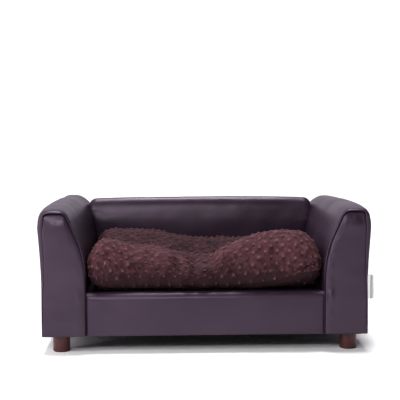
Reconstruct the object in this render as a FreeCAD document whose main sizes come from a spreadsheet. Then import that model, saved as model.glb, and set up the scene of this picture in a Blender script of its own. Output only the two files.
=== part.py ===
import FreeCAD, Part
import Sketcher
import math
import os
import re

# Sofa-style dog bed: two padded arms, a padded back, a padded front rail and a deck on a
# wooden frame, four screw-in wooden legs, and a loose plush cushion with a zipped cover.
# Millimetres. X to the right, Y to the back, Z up; the origin is on the floor under the middle.

os.makedirs("parts", exist_ok=True)
doc = FreeCAD.newDocument("sofa_dog_bed")
Vec = FreeCAD.Vector

# ---------------------------------------------------------------- driving dimensions

DIMENSIONS = [
    ("leg_height", 35, "floor to the underside of the upholstery"),
    ("leg_radius", 17.5, "round leg"),
    ("leg_x", 297, "leg centre from the middle"),
    ("leg_y", 177, "leg centre from the middle"),
    ("leg_edge", 2, "chamfer of the leg's lower edge"),
    ("leg_gap", 0.1, "leg's top face to the upholstery"),
    ("bolt_radius", 4, "hanger bolt, M8"),
    ("bolt_low", 13, "lower end of the hanger bolt"),
    ("bolt_high", 52, "upper end of the hanger bolt"),
    ("bolt_play", 0.05, "running clearance round the hanger bolt"),
    ("cover", 1.2, "thickness of the faux-leather covers"),
    ("half_depth", 215, "middle to the front or rear face"),
    ("plate", 15, "foot plate thickness"),
    ("board", 12, "front and rear arm boards"),
    ("panel", 9, "plywood panels"),
    ("hardboard", 5, "outer back panel"),
    ("base_half", 242, "half the width of the base between the arms"),
    ("arm_inner", 243.5, "inner face of the arm"),
    ("arm_outer", 334.5, "outer face of the arm, low down"),
    ("frame_inner", 258, "inner face of the arm's inner panel"),
    ("frame_outer", 329, "outer face of the arm's outer panel"),
    ("frame_half_depth", 205, "middle to the arm frame's front or rear face"),
    ("frame_shoulder", 205, "height of the arm's inner panel"),
    ("frame_slope", 284, "inner edge of the arm frame's top"),
    ("frame_top", 262, "top of the arm and back frames"),
    ("foot_inner", 246, "inner edge of the arm's foot plate"),
    ("rail_face", 210, "middle to the front rail's covered face"),
    ("rail_edge", 10, "rounding of the front rail's foam"),
    ("rail_board", 15, "front rail board thickness"),
    ("deck_top", 124, "top of the covered deck"),
    ("side_rail", 15, "base side rail thickness"),
    ("back_face", 165, "front face of the back frame"),
    ("back_half", 262, "half the width of the padded back at its top"),
    ("stile", 25, "width of the back's stiles"),
    ("arm_bolt_radius", 3, "bolts between the base, the back and the arms, M6"),
    ("arm_bolt_play", 0.5, "hole clearance round those bolts"),
    ("cushion_half", 240, "half the cushion's width"),
    ("cushion_front", -206, "cushion's front face"),
    ("cushion_rear", 134, "cushion's rear face"),
    ("cushion_low", 124.3, "cushion's underside"),
    ("cushion_high", 236.3, "cushion's top"),
    ("cushion_edge", 45, "rounding of the cushion's edges"),
    ("cushion_skin", 1.5, "thickness of the plush cover"),
    ("cushion_seam", 148, "height of the seam between the cover's two panels"),
]

sheet = doc.addObject("Spreadsheet::Sheet", "dims")
for row, (alias, number, meaning) in enumerate(DIMENSIONS, start=1):
    sheet.set(f"A{row}", meaning)
    sheet.set(f"B{row}", str(number))
    sheet.setAlias(f"B{row}", alias)
doc.recompute()

parts = {}


def bind(text):
    """Turns words such as leg_height in an expression into references to the sheet."""
    return re.sub(r"[a-z_]+", lambda word: "dims." + word.group(), str(text))


def value(text):
    """The number that an expression on the sheet's aliases gives."""
    return float(sheet.evalExpression(bind(text)))


def keep(label, obj):
    """Names an object as one sub-part of the bed."""
    obj.Label = label
    parts[label] = obj
    return obj


def keep_shape(label, shape):
    """Adds a sub-part whose shape Part's own functions made."""
    feature = doc.addObject("Part::Feature", label)
    feature.Shape = shape
    feature.Placement = FreeCAD.Placement()
    return keep(label, feature)


# ---------------------------------------------------------------- boards and drilling


def box(name, low, high):
    """A Part::Box between two corners, each given as three expressions."""
    made = doc.addObject("Part::Box", name)
    for prop, start, end in zip(("Length", "Width", "Height"), low, high):
        made.setExpression(prop, bind(f"({end}) - ({start})"))
    for axis, start in zip("xyz", low):
        made.setExpression(f"Placement.Base.{axis}", bind(start))
    return made


def cylinder(name, radius, height, base, along="z"):
    """A Part::Cylinder that stands on base and points along x or z."""
    made = doc.addObject("Part::Cylinder", name)
    made.setExpression("Radius", bind(radius))
    made.setExpression("Height", bind(height))
    if along == "x":
        made.Placement.Rotation = FreeCAD.Rotation(Vec(0, 1, 0), 90)
    for axis, start in zip("xyz", base):
        made.setExpression(f"Placement.Base.{axis}", bind(start))
    return made


def group(name, members):
    made = doc.addObject("Part::Compound", name)
    made.Links = members
    return made


def cut(name, base, tools):
    made = doc.addObject("Part::Cut", name)
    made.Base = base
    made.Tool = tools[0] if len(tools) == 1 else group(name + "_tools", tools)
    return made


def span(side, inner, outer):
    """The x extent of a board on one side, from its distances to the middle."""
    return (inner, outer) if side > 0 else (f"-({outer})", f"-({inner})")


SIDES = {"left": -1, "right": 1}
ENDS = {"front": -1, "rear": 1}
FRAME_BOTTOM = "leg_height + cover"
FOOT_TOP = "leg_height + cover + plate"
DECK_LOW = "deck_top - cover - panel"

# Bolts through the base side rails and the back's stiles into the arms: (y, z, head's x).
ARM_BOLTS = [
    ("-120", "75", "base_half - side_rail"),
    ("60", "75", "base_half - side_rail"),
    ("184", "180", "base_half - stile"),
]


def bolt_holes(name, side, which):
    """Clearance holes for some of the arm bolts, right through one side of the bed."""
    holes = []
    for number in which:
        y, z, _ = ARM_BOLTS[number]
        low, _ = span(side, "base_half - stile - 5", "frame_outer - plate")
        length = "frame_outer - plate - base_half + stile + 5"
        radius = "arm_bolt_radius + arm_bolt_play"
        holes.append(cylinder(f"{name}_{number}", radius, length, (low, y, z), "x"))
    return holes


# ---------------------------------------------------------------- base and deck

keep(
    "base_front_rail",
    box(
        "base_front_rail",
        ("-base_half", "-frame_half_depth", FRAME_BOTTOM),
        ("base_half", "rail_board - frame_half_depth", DECK_LOW),
    ),
)
for side_name, side in SIDES.items():
    x_low, x_high = span(side, "base_half - side_rail", "base_half")
    blank = box(
        f"{side_name}_side_rail_blank",
        (x_low, "rail_board - frame_half_depth", FRAME_BOTTOM),
        (x_high, "back_face", DECK_LOW),
    )
    label = f"base_{side_name}_rail"
    keep(label, cut(label, blank, bolt_holes(label + "_hole", side, (0, 1))))

BATTEN = 20
keep(
    "base_centre_batten",
    box(
        "base_centre_batten",
        (-BATTEN / 2, "rail_board - frame_half_depth", f"{DECK_LOW} - {BATTEN}"),
        (BATTEN / 2, "back_face", DECK_LOW),
    ),
)
keep(
    "deck_panel",
    box(
        "deck_panel",
        ("-base_half", "rail_board - frame_half_depth", DECK_LOW),
        ("base_half", "back_face", "deck_top - cover"),
    ),
)
keep(
    "deck_cover",
    box(
        "deck_cover",
        ("-base_half", "rail_board - frame_half_depth", "deck_top - cover"),
        ("base_half", "back_face", "deck_top"),
    ),
)

# ---------------------------------------------------------------- back frame

BACK_INSIDE = "back_face + panel"
BACK_OUTSIDE = "half_depth - cover - hardboard"
REAR_RAIL_HEIGHT = 25

keep(
    "back_inner_panel",
    box(
        "back_inner_panel",
        ("-base_half", "back_face", FRAME_BOTTOM),
        ("base_half", BACK_INSIDE, "frame_top"),
    ),
)
keep(
    "back_outer_panel",
    box(
        "back_outer_panel",
        ("-base_half", BACK_OUTSIDE, FRAME_BOTTOM),
        ("base_half", "half_depth - cover", "frame_top"),
    ),
)
keep(
    "back_top_rail",
    box(
        "back_top_rail",
        ("-base_half", BACK_INSIDE, "frame_top - plate"),
        ("base_half", BACK_OUTSIDE, "frame_top"),
    ),
)
keep(
    "base_rear_rail",
    box(
        "base_rear_rail",
        ("stile - base_half", BACK_INSIDE, FRAME_BOTTOM),
        ("base_half - stile", BACK_OUTSIDE, f"{FRAME_BOTTOM} + {REAR_RAIL_HEIGHT}"),
    ),
)
for side_name, side in SIDES.items():
    x_low, x_high = span(side, "base_half - stile", "base_half")
    blank = box(
        f"{side_name}_stile_blank",
        (x_low, BACK_INSIDE, FRAME_BOTTOM),
        (x_high, BACK_OUTSIDE, "frame_top - plate"),
    )
    label = f"back_{side_name}_stile"
    keep(label, cut(label, blank, bolt_holes(label + "_hole", side, (2,))))

# ---------------------------------------------------------------- arm frames

T_NUT_BARREL = 5
ARM_BOARD_OUTLINE = [
    ("frame_inner", FOOT_TOP),
    ("frame_outer", FOOT_TOP),
    ("frame_outer", "frame_top"),
    ("frame_slope", "frame_top"),
    ("frame_inner", "frame_shoulder"),
]


def origin_plane(body, role):
    return next(o for o in body.Origin.OriginFeatures if o.Role == role)


def polygon_sketch(body, name, outline):
    """A closed polygon on the body's XZ plane, each corner's x and z bound to the sheet."""
    sketch = body.newObject("Sketcher::SketchObject", name)
    sketch.AttachmentSupport = [(origin_plane(body, "XZ_Plane"), "")]
    sketch.MapMode = "FlatFace"
    corners = [Vec(value(x), value(z), 0) for x, z in outline]
    for number, start in enumerate(corners):
        end = corners[(number + 1) % len(corners)]
        sketch.addGeometry(Part.LineSegment(start, end), False)
    for number in range(len(corners)):
        following = (number + 1) % len(corners)
        sketch.addConstraint(Sketcher.Constraint("Coincident", number, 2, following, 1))
    for number, (x, z) in enumerate(outline):
        for kind, expression in (("DistanceX", x), ("DistanceY", z)):
            size = value(expression)
            index = sketch.addConstraint(Sketcher.Constraint(kind, -1, 1, number, 1, size))
            sketch.renameConstraint(index, f"{kind}_{number}")
            sketch.setExpression(f"Constraints.{kind}_{number}", bind(expression))
    return sketch


for side_name, side in SIDES.items():
    x_low, x_high = span(side, "foot_inner", "frame_outer")
    blank = box(
        f"{side_name}_foot_plate_blank",
        (x_low, "-frame_half_depth", FRAME_BOTTOM),
        (x_high, "frame_half_depth", FOOT_TOP),
    )
    holes = [
        cylinder(
            f"{side_name}_{end_name}_nut_hole",
            T_NUT_BARREL,
            "plate + 2",
            (f"{side} * leg_x", f"{end} * leg_y", f"{FRAME_BOTTOM} - 1"),
        )
        for end_name, end in ENDS.items()
    ]
    label = f"{side_name}_arm_foot_plate"
    keep(label, cut(label, blank, holes))

    x_low, x_high = span(side, "frame_inner", "frame_inner + panel")
    blank = box(
        f"{side_name}_inner_panel_blank",
        (x_low, "board - frame_half_depth", FOOT_TOP),
        (x_high, "frame_half_depth - board", "frame_shoulder"),
    )
    label = f"{side_name}_arm_inner_panel"
    keep(label, cut(label, blank, bolt_holes(label + "_hole", side, (0, 1, 2))))

    x_low, x_high = span(side, "frame_outer - panel", "frame_outer")
    label = f"{side_name}_arm_outer_panel"
    keep(
        label,
        box(
            label,
            (x_low, "board - frame_half_depth", FOOT_TOP),
            (x_high, "frame_half_depth - board", "frame_top"),
        ),
    )

    x_low, x_high = span(side, "frame_slope", "frame_outer - panel")
    label = f"{side_name}_arm_top_rail"
    keep(
        label,
        box(
            label,
            (x_low, "board - frame_half_depth", "frame_top - plate"),
            (x_high, "frame_half_depth - board", "frame_top"),
        ),
    )

    for end_name, end in ENDS.items():
        label = f"{side_name}_arm_{end_name}_board"
        body = doc.addObject("PartDesign::Body", label)
        sketch = polygon_sketch(body, label + "_sketch", ARM_BOARD_OUTLINE)
        pad = body.newObject("PartDesign::Pad", label + "_pad")
        pad.Profile = sketch
        pad.setExpression("Length", bind("board"))
        # The pad grows towards -Y; the left boards are the right ones turned half a turn.
        if side > 0:
            near = "frame_half_depth" if end > 0 else "board - frame_half_depth"
        else:
            near = "frame_half_depth - board" if end > 0 else "-frame_half_depth"
            body.Placement.Rotation = FreeCAD.Rotation(Vec(0, 0, 1), 180)
        body.setExpression("Placement.Base.y", bind(near))
        keep(label, body)

# ---------------------------------------------------------------- hardware

NUT_FLANGE = 9
NUT_FLANGE_THICK = 1.5
NUT_BARREL_LOW = 40
nuts = []
for side_name, side in SIDES.items():
    for end_name, end in ENDS.items():
        name = f"{side_name}_{end_name}_t_nut"
        x, y = f"{side} * leg_x", f"{end} * leg_y"
        flange = cylinder(name + "_flange", NUT_FLANGE, NUT_FLANGE_THICK, (x, y, FOOT_TOP))
        height = f"{FOOT_TOP} - {NUT_BARREL_LOW}"
        barrel = cylinder(name + "_barrel", T_NUT_BARREL, height, (x, y, NUT_BARREL_LOW))
        outside = doc.addObject("Part::Fuse", name + "_outside")
        outside.Base = barrel
        outside.Tool = flange
        radius = "bolt_radius + bolt_play"
        bore = cylinder(name + "_bore", radius, 20, (x, y, NUT_BARREL_LOW - 2))
        nuts.append(cut(name, outside, [bore]))
keep("leg_t_nuts", group("leg_t_nuts", nuts))

BOLT_HEAD = 5.5
BOLT_HEAD_THICK = 3
HEX_ACROSS_CORNERS = 11.5
HEX_THICK = 5
BOLT_END = 6


def arm_bolt(name, side, y, z, head):
    """A round-headed bolt from the base or the back out through the arm's inner panel."""
    start = f"{head}"
    end = f"frame_inner + panel + {BOLT_END}"
    shank_low, _ = span(side, start, end)
    shank = cylinder(name + "_shank", "arm_bolt_radius", f"{end} - ({start})", (shank_low, y, z), "x")
    head_low, _ = span(side, f"{start} - {BOLT_HEAD_THICK}", start)
    cap = cylinder(name + "_head", BOLT_HEAD, BOLT_HEAD_THICK, (head_low, y, z), "x")
    made = doc.addObject("Part::Fuse", name)
    made.Base = shank
    made.Tool = cap
    return made


def arm_nut(name, side, y, z):
    """A hexagon nut against the arm's inner panel."""
    low, _ = span(side, "frame_inner + panel", f"frame_inner + panel + {HEX_THICK}")
    prism = doc.addObject("Part::Prism", name + "_hexagon")
    prism.Polygon = 6
    prism.Circumradius = HEX_ACROSS_CORNERS / 2
    prism.Height = HEX_THICK
    prism.Placement.Rotation = FreeCAD.Rotation(Vec(0, 1, 0), 90)
    for axis, start in zip("xyz", (low, y, z)):
        prism.setExpression(f"Placement.Base.{axis}", bind(start))
    bore_low, _ = span(side, "frame_inner", "frame_inner + panel + 20")
    bore = cylinder(name + "_bore", "arm_bolt_radius", "panel + 20", (bore_low, y, z), "x")
    return cut(name, prism, [bore])


bolts, hexes = [], []
for side_name, side in SIDES.items():
    for number, (y, z, head) in enumerate(ARM_BOLTS):
        bolts.append(arm_bolt(f"{side_name}_arm_bolt_{number}", side, y, z, head))
        hexes.append(arm_nut(f"{side_name}_arm_nut_{number}", side, y, z))
keep("arm_bolts", group("arm_bolts", bolts))
keep("arm_nuts", group("arm_nuts", hexes))

# ---------------------------------------------------------------- legs


def revolved(label, outline, x, y):
    """A body turned about its own Z axis, from a half outline of (radius, z) corners."""
    body = doc.addObject("PartDesign::Body", label)
    sketch = polygon_sketch(body, label + "_sketch", outline)
    turn = body.newObject("PartDesign::Revolution", label + "_turn")
    turn.Profile = sketch
    turn.ReferenceAxis = (sketch, ["V_Axis"])
    turn.Angle = 360
    body.setExpression("Placement.Base.x", bind(x))
    body.setExpression("Placement.Base.y", bind(y))
    return keep(label, body)


LEG_OUTLINE = [
    ("0", "0"),
    ("leg_radius - leg_edge", "0"),
    ("leg_radius", "leg_edge"),
    ("leg_radius", "leg_height - leg_gap"),
    ("bolt_radius + bolt_play", "leg_height - leg_gap"),
    ("bolt_radius + bolt_play", "bolt_low - 1"),
    ("0", "bolt_low - 1"),
]
BOLT_POINT = 1.5
BOLT_OUTLINE = [
    ("0", "bolt_low"),
    (f"bolt_radius - {BOLT_POINT}", "bolt_low"),
    ("bolt_radius", f"bolt_low + {BOLT_POINT}"),
    ("bolt_radius", "bolt_high - 1"),
    ("bolt_radius - 1", "bolt_high"),
    ("0", "bolt_high"),
]
for end_name, end in ENDS.items():
    for side_name, side in SIDES.items():
        x, y = f"{side} * leg_x", f"{end} * leg_y"
        revolved(f"leg_{end_name}_{side_name}", LEG_OUTLINE, x, y)
        revolved(f"hanger_bolt_{end_name}_{side_name}", BOLT_OUTLINE, x, y)

# ---------------------------------------------------------------- arm upholstery

# The arm's section over its straight lower walls, as distances from the middle and heights.
# At the front the top is a low flat shoulder; at the rear it is a round roll.
ARM_FRONT_SECTION = [
    ("arm_outer", 140),
    (340, 235),
    (338.5, 270),
    (331, 285.5),
    (310, 288),
    (287, 286),
    (274, 265),
    (258, 230),
    (247.5, 192),
    ("arm_inner", 140),
]
ARM_REAR_SECTION = [
    ("arm_outer", 140),
    (340, 235),
    (337, 268),
    (322, 287),
    (303, 290),
    (280, 287),
    (262, 276),
    (250, 250),
    (245.5, 190),
    ("arm_inner", 140),
]
UP = Vec(0, 0, 1)
DOWN = Vec(0, 0, -1)


def smooth(points, start, end):
    """An interpolated curve that leaves along start and arrives along end."""
    curve = Part.BSplineCurve()
    curve.interpolate(Points=points, InitialTangent=start, FinalTangent=end)
    return curve


def inset_points(curve, points, sideways, inset):
    """The points of a curve moved sideways off it by a distance."""
    moved = []
    for point in points:
        tangent = curve.tangent(curve.parameter(point))[0]
        moved.append(point + sideways.cross(tangent).normalize() * inset)
    return moved


def arm_wire(section, y, inset):
    """The right arm's closed section at a depth, drawn inset inside the outer surface."""
    points = [Vec(value(x), y, value(z)) for x, z in section]
    pace = (points[1] - points[0]).Length * 3
    curve = smooth(points, UP * pace, DOWN * pace)
    if inset:
        points = inset_points(curve, points, Vec(0, -1, 0), inset)
        curve = smooth(points, UP * pace, DOWN * pace)
    low = value("leg_height") + inset
    outer_corner = Vec(points[0].x, y, low)
    inner_corner = Vec(points[-1].x, y, low)
    return Part.Wire(
        [
            Part.makeLine(outer_corner, points[0]),
            curve.toShape(),
            Part.makeLine(points[-1], inner_corner),
            Part.makeLine(inner_corner, outer_corner),
        ]
    )


def arm_solid(half_depth, inset):
    front = arm_wire(ARM_FRONT_SECTION, -half_depth, inset)
    rear = arm_wire(ARM_REAR_SECTION, half_depth, inset)
    return Part.makeLoft([front, rear], True, True)


def block(x_low, x_high, y_low, y_high, z_low, z_high):
    size = (x_high - x_low, y_high - y_low, z_high - z_low)
    return Part.makeBox(*size, Vec(x_low, y_low, z_low))


def prism(corners, y_low, y_high):
    """A solid of constant section in XZ between two depths."""
    outline = Part.makePolygon([Vec(x, y_low, z) for x, z in corners + corners[:1]])
    return Part.Face(outline).extrude(Vec(0, y_high - y_low, 0))


def other_side(shape):
    return shape.mirror(Vec(0, 0, 0), Vec(1, 0, 0))


half_depth = value("half_depth")
cover = value("cover")
inside_depth = half_depth - cover
frame_depth = value("frame_half_depth")
frame_bottom = value(FRAME_BOTTOM)
frame_top = value("frame_top")
frame_outer = value("frame_outer")
far = 400

bolt_room = []
for y, z, _ in ARM_BOLTS:
    radius = value("arm_bolt_radius + arm_bolt_play")
    start = Vec(value("base_half"), value(y), value(z))
    bolt_room.append(Part.makeCylinder(radius, 20, start, Vec(1, 0, 0)))

# The cover is closed underneath by its turned-in edges, with a hole round each hanger bolt.
leg_room = []
for end in ENDS.values():
    start = Vec(value("leg_x"), end * value("leg_y"), 0)
    leg_room.append(Part.makeCylinder(value("bolt_radius") + 2, 45, start))

arm_outside = arm_solid(inside_depth, 0)
arm_inside = arm_solid(inside_depth, cover)
arm_cover = arm_outside.cut(arm_inside).cut(bolt_room + leg_room)

front_face = Part.Face(arm_wire(ARM_FRONT_SECTION, -half_depth, 0))
rear_face = Part.Face(arm_wire(ARM_REAR_SECTION, inside_depth, 0))
front_facing = front_face.extrude(Vec(0, cover, 0))
rear_facing = rear_face.extrude(Vec(0, cover, 0))

frame_outline = [(value(x), value(z)) for x, z in ARM_BOARD_OUTLINE]
foot = block(
    value("foot_inner"), frame_outer, -frame_depth, frame_depth, frame_bottom, value(FOOT_TOP)
)
arm_frame = prism(frame_outline, -frame_depth, frame_depth).fuse(foot)
arm_foam = arm_inside.cut(arm_frame).cut(bolt_room)
# The foam is five glued pads: front, rear, outer side, top and inner side.
PAD_REGIONS = [
    block(0, far, -far, -frame_depth, 0, far),
    block(0, far, frame_depth, far, 0, far),
    block(frame_outer, far, -frame_depth, frame_depth, 0, frame_top),
    block(0, far, -frame_depth, frame_depth, frame_top, far),
    block(0, frame_outer, -frame_depth, frame_depth, 0, frame_top),
]
arm_pads = Part.makeCompound([arm_foam.common(region).Solids[0] for region in PAD_REGIONS])

for side_name, side in SIDES.items():
    shapes = {
        f"{side_name}_arm_foam": arm_pads,
        f"{side_name}_arm_cover": arm_cover,
        f"{side_name}_arm_front_facing": front_facing,
        f"{side_name}_arm_rear_facing": rear_facing,
    }
    for label, shape in shapes.items():
        keep_shape(label, shape if side > 0 else other_side(shape))

# ---------------------------------------------------------------- front rail upholstery


def rail_outline(face, top, low, edge):
    """Front face, rounded upper edge and top of the rail, as (start, edges, end)."""
    corner_low = Vec(0, face, top - edge)
    corner_mid = Vec(0, face + edge * (1 - math.sqrt(0.5)), top - edge * (1 - math.sqrt(0.5)))
    corner_high = Vec(0, face + edge, top)
    back = Vec(0, value("rail_board - frame_half_depth"), top)
    start = Vec(0, face, low)
    edges = [
        Part.makeLine(start, corner_low),
        Part.Arc(corner_low, corner_mid, corner_high).toShape(),
        Part.makeLine(corner_high, back),
    ]
    return start, edges, back


def lines(points):
    return [Part.makeLine(a, b) for a, b in zip(points, points[1:])]


def across(edges, half_width):
    """A solid that runs from -half_width to half_width with the closed section in YZ."""
    face = Part.Face(Part.Wire(edges))
    face.translate(Vec(-half_width, 0, 0))
    return face.extrude(Vec(2 * half_width, 0, 0))


base_half = value("base_half")
rail_face = -value("rail_face")
deck_top = value("deck_top")
rail_back = value("rail_board") - frame_depth
rail_edge = value("rail_edge")
deck_low = value(DECK_LOW)

start, edges, back = rail_outline(rail_face + cover, deck_top - cover, frame_bottom, rail_edge)
closing = [
    back,
    Vec(0, rail_back, deck_low),
    Vec(0, -frame_depth, deck_low),
    Vec(0, -frame_depth, frame_bottom),
    start,
]
keep_shape("front_rail_foam", across(edges + lines(closing), base_half))

outer_start, outer_edges, outer_back = rail_outline(
    rail_face, deck_top, value("leg_height"), rail_edge + cover
)
turned_in = [
    outer_start,
    Vec(0, rail_back, value("leg_height")),
    Vec(0, rail_back, frame_bottom),
    start,
]
skin_edges = outer_edges + lines([outer_back, back]) + edges + lines(turned_in)
keep_shape("front_rail_cover", across(Part.__sortEdges__(skin_edges), base_half))

# ---------------------------------------------------------------- back upholstery

BACK_SECTION = [
    (143, "deck_top"),
    (141, 165),
    (141, 215),
    (145, 255),
    (157, 277),
    (176, 286.5),
    (192, 287.5),
    (206, 283),
    (213.5, 273),
    ("half_depth", "frame_top"),
]
back_points = [Vec(0, value(y), value(z)) for y, z in BACK_SECTION]
back_curve = smooth(back_points, UP * 150, DOWN * 60)
skin_points = inset_points(back_curve, back_points, Vec(-1, 0, 0), cover)
skin_points[0].z = deck_top
skin_points[-1].z = frame_top
skin_curve = smooth(skin_points, UP * 150, DOWN * 60)

back_face = value("back_face")
foam_closing = [
    skin_points[-1],
    Vec(0, back_face, frame_top),
    Vec(0, back_face, deck_top),
    skin_points[0],
]
back_half = value("back_half")
arms = [arm_solid(half_depth, 0), other_side(arm_solid(half_depth, 0))]
stile_room = block(-base_half, base_half, back_face, far, 0, frame_top)
back_bolts = bolt_room + [other_side(room) for room in bolt_room]

back_foam = across([skin_curve.toShape()] + lines(foam_closing), back_half)
keep_shape("back_foam", back_foam.cut(arms))

skin_closing = lines([back_points[-1], skin_points[-1]]) + lines([skin_points[0], back_points[0]])
back_skin = across([back_curve.toShape(), *skin_closing, skin_curve.toShape()], back_half)
keep_shape("back_cover", back_skin.cut(arms))

outer_skin = block(
    -base_half, base_half, inside_depth, half_depth, value("leg_height"), frame_top
)
keep_shape("back_outer_cover", outer_skin)

# ---------------------------------------------------------------- underside and label

DUST_THICK = 0.8
keep(
    "dust_cover",
    box(
        "dust_cover",
        ("-base_half", "rail_board - frame_half_depth", f"{FRAME_BOTTOM} - {DUST_THICK}"),
        ("base_half", "half_depth - cover", FRAME_BOTTOM),
    ),
)

STAPLE = (10, 1.2, 0.5)
STAPLE_ROWS = 2
STAPLES_IN_ROW = 8
staples = []
for row in range(STAPLE_ROWS):
    y = (-182, 190)[row]
    for number in range(STAPLES_IN_ROW):
        x = (number - (STAPLES_IN_ROW - 1) / 2) * 60
        z = frame_bottom - DUST_THICK - STAPLE[2]
        corner = Vec(x - STAPLE[0] / 2, y, z)
        staples.append(Part.makeBox(*STAPLE, corner))
keep_shape("dust_cover_staples", Part.makeCompound(staples))

LABEL_X = 347.5
LABEL_LOW = 115
LABEL_HEIGHT = 47
LABEL_THICK = 1.2
label_y = -inside_depth + 0.6
tag = block(300, LABEL_X, label_y, label_y + LABEL_THICK, LABEL_LOW, LABEL_LOW + LABEL_HEIGHT)
keep_shape("side_label", tag.cut(arms[0]))

# ---------------------------------------------------------------- cushion

cushion_edge = value("cushion_edge")


def cushion_solid(inset):
    half = value("cushion_half") - inset
    front = value("cushion_front") + inset
    rear = value("cushion_rear") - inset
    low = value("cushion_low") + inset
    high = value("cushion_high") - inset
    plain = block(-half, half, front, rear, low, high)
    return plain.makeFillet(cushion_edge - inset, plain.Edges)


cushion_skin = value("cushion_skin")
cushion_outside = cushion_solid(0)
cushion_fill = cushion_solid(cushion_skin)
cushion_cover = cushion_outside.cut(cushion_fill)
cushion_seam = value("cushion_seam")
upper_half = block(-far, far, -far, far, cushion_seam, far)
lower_half = block(-far, far, -far, far, 0, cushion_seam)
keep_shape("cushion_fill", cushion_fill)
keep_shape("cushion_cover_top", cushion_cover.common(upper_half))
keep_shape("cushion_cover_bottom", cushion_cover.common(lower_half))

# ---------------------------------------------------------------- zip in the cushion's rear lower edge

# The zip lies along X on the rounded edge, turned this far below the level.
ZIP_ANGLE = math.radians(40)
OUT = Vec(0, math.cos(ZIP_ANGLE), -math.sin(ZIP_ANGLE))
ACROSS = Vec(0, math.sin(ZIP_ANGLE), math.cos(ZIP_ANGLE))
ALONG = Vec(1, 0, 0)
EDGE_AXIS = Vec(0, value("cushion_rear") - cushion_edge, value("cushion_low") + cushion_edge)
TAPE_THICK = 0.8
TAPE_HALF = 14
TEETH_HALF = 2.5
TEETH_GAP = 0.2
TEETH_THICK = 1.6
TEETH_LIFT = 0.15
TAPE_LENGTH = 390
TEETH_LENGTH = 380


def zip_point(along, outwards, sideways):
    """A point given along the zip, out from the rounded edge's axis, and across the tape."""
    return EDGE_AXIS + ALONG * along + OUT * outwards + ACROSS * sideways


def zip_block(along, outwards, sideways):
    """A block between pairs of distances along, out from and across the zip."""
    corners = [
        zip_point(along[0], outwards[a], sideways[b]) for a, b in ((0, 0), (1, 0), (1, 1), (0, 1))
    ]
    outline = Part.makePolygon(corners + corners[:1])
    return Part.Face(outline).extrude(ALONG * (along[1] - along[0]))


def zip_pin(radius, outwards, half_width):
    return Part.makeCylinder(radius, 2 * half_width, zip_point(SLIDER_X, outwards, -half_width), ACROSS)


def tape_half(sign):
    """One woven tape, bent to the cushion's rounded edge."""

    def at(radius, sideways):
        turn = sign * sideways / cushion_edge
        return zip_point(-TAPE_LENGTH / 2, radius * math.cos(turn), radius * math.sin(turn))

    inner_edge, outer_edge = TEETH_HALF + TEETH_GAP, TAPE_HALF
    middle = (inner_edge + outer_edge) / 2
    low, high = cushion_edge, cushion_edge + TAPE_THICK
    section = [
        Part.Arc(at(low, inner_edge), at(low, middle), at(low, outer_edge)).toShape(),
        Part.makeLine(at(low, outer_edge), at(high, outer_edge)),
        Part.Arc(at(high, outer_edge), at(high, middle), at(high, inner_edge)).toShape(),
        Part.makeLine(at(high, inner_edge), at(low, inner_edge)),
    ]
    return Part.Face(Part.Wire(section)).extrude(ALONG * TAPE_LENGTH)


keep_shape("zip_tape", Part.makeCompound([tape_half(1), tape_half(-1)]))

teeth_low = cushion_edge + TEETH_LIFT
teeth_high = teeth_low + TEETH_THICK
keep_shape(
    "zip_teeth",
    zip_block(
        (-TEETH_LENGTH / 2, TEETH_LENGTH / 2), (teeth_low, teeth_high), (-TEETH_HALF, TEETH_HALF)
    ),
)

SLIDER_X = 183
SLIDER_HALF_LENGTH = 5.5
SLIDER_HALF_WIDTH = 4.5
SLIDER_PLATE = 1.5
SLIDER_CLEAR = 0.3
FLANGE_INNER = 3
LUG_INNER = 1.75
LUG_OUTER = 3.25
LUG_RADIUS = 2.2
PIN_RADIUS = 0.8
PIN_HEIGHT = 2.7
EYE_RADIUS = 2.2
EYE_HALF = 1.5
EYE_PLAY = 0.05
PULL_REACH = 13.25
PULL_HALF_WIDTH = 2.5
PULL_THICK = 1.2

plate_low = teeth_high + SLIDER_CLEAR
plate_high = plate_low + SLIDER_PLATE
pin_out = plate_high + PIN_HEIGHT
flange_low = cushion_edge + TAPE_THICK + SLIDER_CLEAR + 0.1
slider_along = (SLIDER_X - SLIDER_HALF_LENGTH, SLIDER_X + SLIDER_HALF_LENGTH)
slider = zip_block(
    slider_along, (plate_low, plate_high), (-SLIDER_HALF_WIDTH, SLIDER_HALF_WIDTH)
)
for sign in (-1, 1):
    flange_sides = sorted((sign * FLANGE_INNER, sign * SLIDER_HALF_WIDTH))
    lug_sides = sorted((sign * LUG_INNER, sign * LUG_OUTER))
    flange = zip_block(slider_along, (flange_low, plate_low), flange_sides)
    lug_foot = zip_block(
        (SLIDER_X - LUG_RADIUS, SLIDER_X + LUG_RADIUS), (plate_high - 0.5, pin_out), lug_sides
    )
    lug_start = zip_point(SLIDER_X, pin_out, lug_sides[0])
    lug_head = Part.makeCylinder(LUG_RADIUS, LUG_OUTER - LUG_INNER, lug_start, ACROSS)
    slider = slider.fuse([flange, lug_foot, lug_head])
slider = slider.fuse(zip_pin(PIN_RADIUS, pin_out, LUG_OUTER)).removeSplitter()
keep_shape("zip_slider", slider)

eye = zip_pin(EYE_RADIUS, pin_out, EYE_HALF)
stem_along = (SLIDER_X - PULL_THICK / 2, SLIDER_X + PULL_THICK / 2)
stem = zip_block(stem_along, (pin_out, pin_out + 5), (-EYE_HALF, EYE_HALF))
tab = zip_block(
    stem_along, (pin_out + 4.5, pin_out + PULL_REACH), (-PULL_HALF_WIDTH, PULL_HALF_WIDTH)
)
pull = eye.fuse([stem, tab]).cut(zip_pin(PIN_RADIUS + EYE_PLAY, pin_out, 2 * EYE_HALF))
keep_shape("zip_pull", pull.removeSplitter())

# ---------------------------------------------------------------- checks and export

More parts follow.
